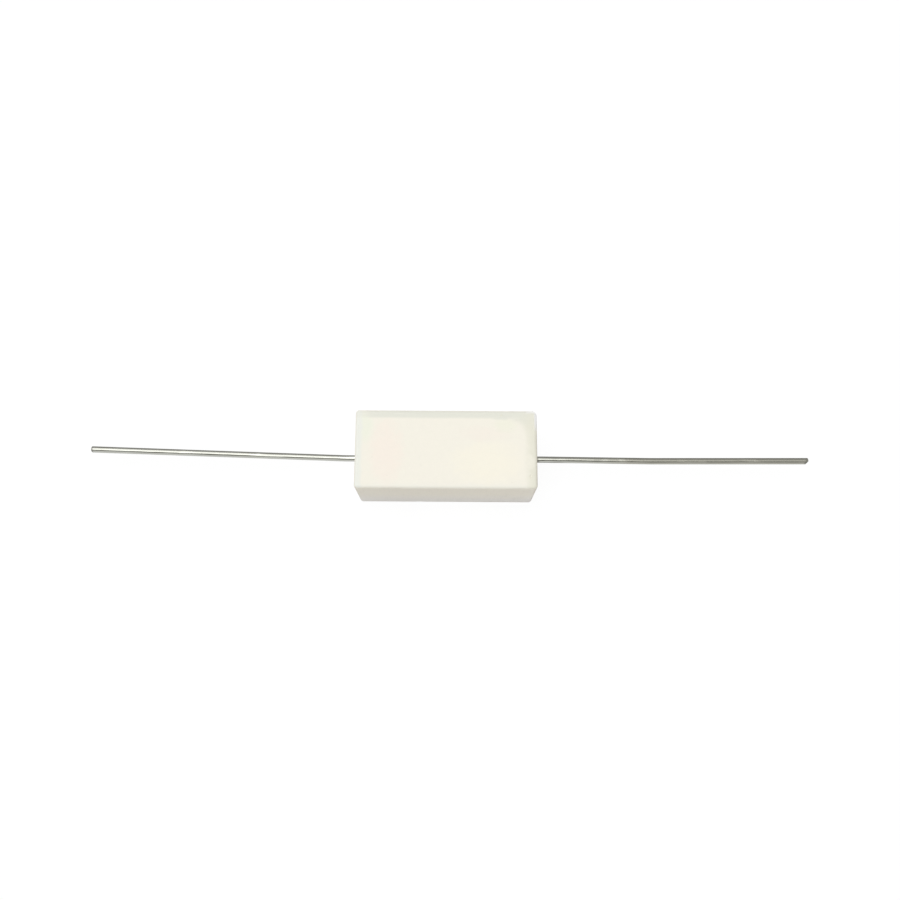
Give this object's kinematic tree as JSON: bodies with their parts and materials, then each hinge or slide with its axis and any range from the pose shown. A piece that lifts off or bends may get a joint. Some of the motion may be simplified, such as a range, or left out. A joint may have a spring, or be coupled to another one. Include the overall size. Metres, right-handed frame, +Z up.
{
  "type": "axial resistor",
  "caption": "Wirewound power resistor in a block-shaped ceramic case filled with cement, with a stiff tinned lead on its axis at each end.",
  "frame": {"origin": "centre of the case's underside, which is its open, cement-filled side", "axes": "+X along the case towards the right lead, +Y across it, +Z up to the closed ceramic face"},
  "size_m": [0.0902, 0.0098, 0.009],
  "materials": {
    "case_ceramic": "bare pressed ceramic, dull",
    "cement": "cast cement, gritty",
    "core_ceramic": "bare fired ceramic",
    "resistance_wire": "drawn resistance alloy",
    "cap_steel": "drawn sheet steel",
    "tinned_wire": "tin on copper, satin"
  },
  "bodies": {
    "root": {"ceramic_case": "case_ceramic", "cement_fill": "cement", "core_rod": "core_ceramic", "resistance_winding": "resistance_wire", "left_end_cap": "cap_steel", "right_end_cap": "cap_steel", "left_lead": "tinned_wire", "right_lead": "tinned_wire"}
  },
  "joints": []
}
